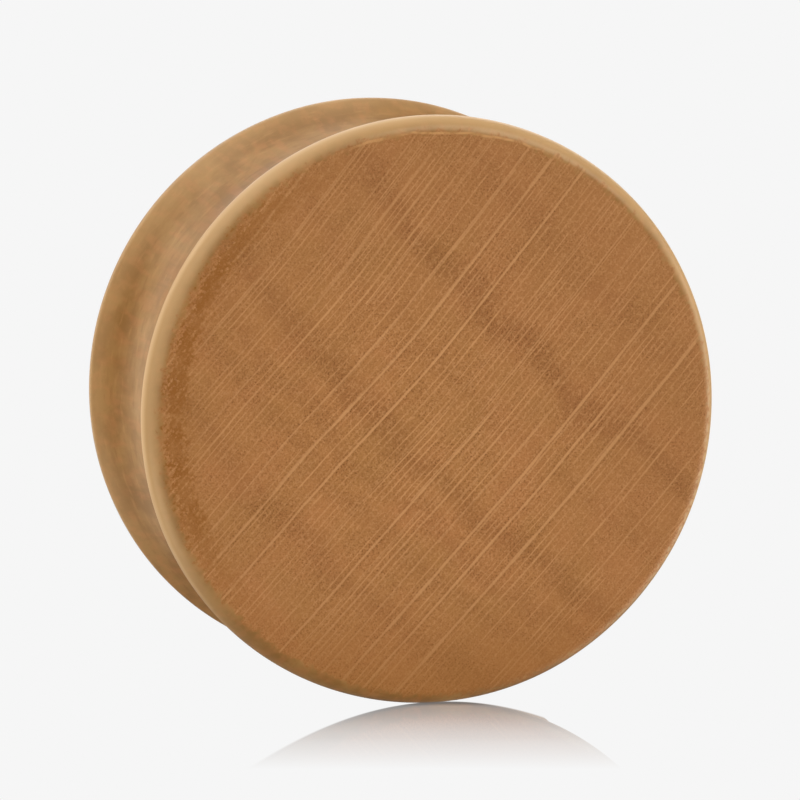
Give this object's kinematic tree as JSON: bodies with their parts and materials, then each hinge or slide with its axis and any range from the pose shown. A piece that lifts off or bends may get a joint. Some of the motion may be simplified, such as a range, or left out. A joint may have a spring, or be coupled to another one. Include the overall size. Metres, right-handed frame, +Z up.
{
  "type": "saddle ear plug",
  "caption": "Turned wooden ear plug with flat end-grain faces, rounded rims and a shallow saddle waist between two equal flares.",
  "frame": {"origin": "centre of the plug, on its axis, midway between the two faces", "axes": "+Y along the plug's axis from the front face to the back face, +Z up as the plug stands on its rims, +X to the right seen from the front"},
  "size_m": [0.028, 0.0132, 0.028],
  "materials": {
    "wood": "satin"
  },
  "bodies": {
    "root": {"plug_body": "wood"}
  },
  "joints": []
}
